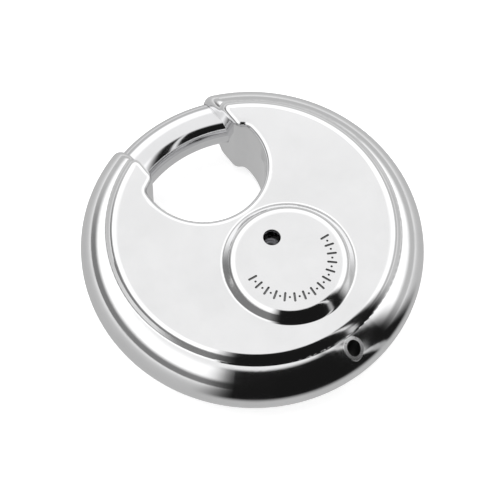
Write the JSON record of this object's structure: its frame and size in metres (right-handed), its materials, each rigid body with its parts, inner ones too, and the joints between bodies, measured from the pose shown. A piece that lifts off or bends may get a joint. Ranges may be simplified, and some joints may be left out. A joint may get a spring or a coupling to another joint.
{
  "type": "disc padlock",
  "caption": "Round steel disc padlock: two drawn shells with a rolled rim, a bar shackle that swings across a notch, and a keyed cylinder in the rear boss.",
  "frame": {"origin": "on the disc's axis, in the plane of the rear boss's flat face that the padlock lies on", "axes": "+Z along the disc's axis, out of the front face; +Y from the disc's centre towards the gap that the shackle spans; +X to the right seen from the front"},
  "size_m": [0.07, 0.0689, 0.0244],
  "materials": {
    "shell": "mirror-polished stainless steel",
    "shackle": "polished hardened steel bar",
    "drain_tube": "polished stainless tube",
    "casting": "as-cast zinc alloy",
    "plated_steel": "zinc-plated pressed steel",
    "hardened_steel": "ground hardened steel",
    "brass": "machined brass",
    "plug": "turned brass, brushed face",
    "pin_brass": "turned brass pins",
    "spring_steel": "drawn spring wire"
  },
  "bodies": {
    "case": {"front_shell": "shell", "rear_shell": "shell", "seam_weld": "shell", "drain_tube": "drain_tube", "core_body": "casting", "core_cover": "plated_steel", "cover_screws": "plated_steel", "stop_pins": "hardened_steel", "right_guide": "hardened_steel", "left_guide": "hardened_steel", "cylinder_housing": "brass", "housing_pin": "hardened_steel", "anti_drill_pins": "hardened_steel", "chamber_cover": "brass", "driver_pins": "pin_brass", "pin_springs": "spring_steel", "carrier_pivot": "hardened_steel", "pivot_washer": "brass"},
    "shackle": {"shackle": "shackle", "shackle_lug": "hardened_steel", "lug_rivets": "hardened_steel", "carrier_gear": "hardened_steel"},
    "plug": {"plug": "plug", "key_pins": "pin_brass", "drive_pinion": "hardened_steel", "plug_clip": "spring_steel"}
  },
  "joints": [
    {"name": "shackle_swing", "type": "hinge", "parent": "case", "child": "shackle", "pos_m": [0, 0, 0.0122], "axis": [0, 0, 1], "range_deg": [-50, 0]},
    {"name": "plug_turn", "type": "hinge", "parent": "case", "child": "plug", "pos_m": [0, -0.01115, 0.0122], "axis": [0, 0, 1], "range_deg": [0, 90]}
  ],
  "couplings": [
    {"joint": "shackle_swing", "follows": "plug_turn", "ratio": -0.55556}
  ]
}
